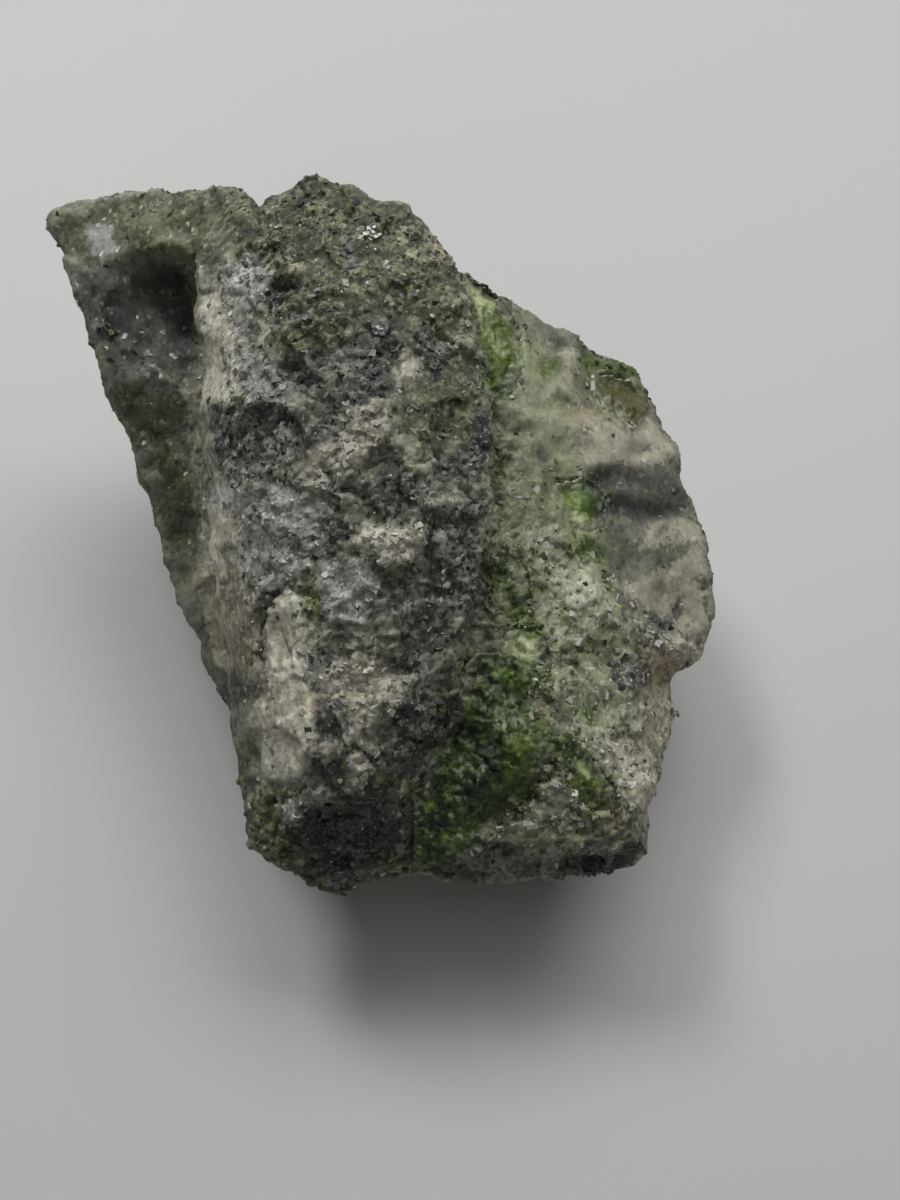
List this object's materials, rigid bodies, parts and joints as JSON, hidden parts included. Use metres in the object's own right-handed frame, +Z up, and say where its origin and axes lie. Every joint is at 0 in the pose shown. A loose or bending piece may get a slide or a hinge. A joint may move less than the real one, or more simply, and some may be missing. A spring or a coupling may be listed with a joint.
{
  "type": "diopside crystal on matrix",
  "caption": "Palm-sized lump of rough diopside rock with a long ridge, a side wing and a sloping slab; flat-faced green crystals sit in a grey granular matrix.",
  "frame": {"origin": "on the table, under the middle of the specimen's bounding box", "axes": "+X across the broad face, +Y up the long ridge and away from the viewer, +Z up from the flat spot it rests on"},
  "size_m": [0.0608, 0.0604, 0.0356],
  "materials": {
    "matrix_rock": "rough granular stone, mottled pale grey, charcoal and olive",
    "green_diopside": "glassy deep green, dull on broken grains",
    "lime_diopside": "glassy pale yellow-green",
    "olive_diopside": "glassy olive brown"
  },
  "bodies": {
    "root": {"matrix": "matrix_rock", "front_diopside": "green_diopside", "edge_diopside": "green_diopside", "lime_diopside": "lime_diopside", "upper_seam_diopside": "green_diopside", "lower_seam_diopside": "green_diopside", "slab_diopside": "green_diopside", "olive_diopside": "olive_diopside"}
  },
  "joints": []
}
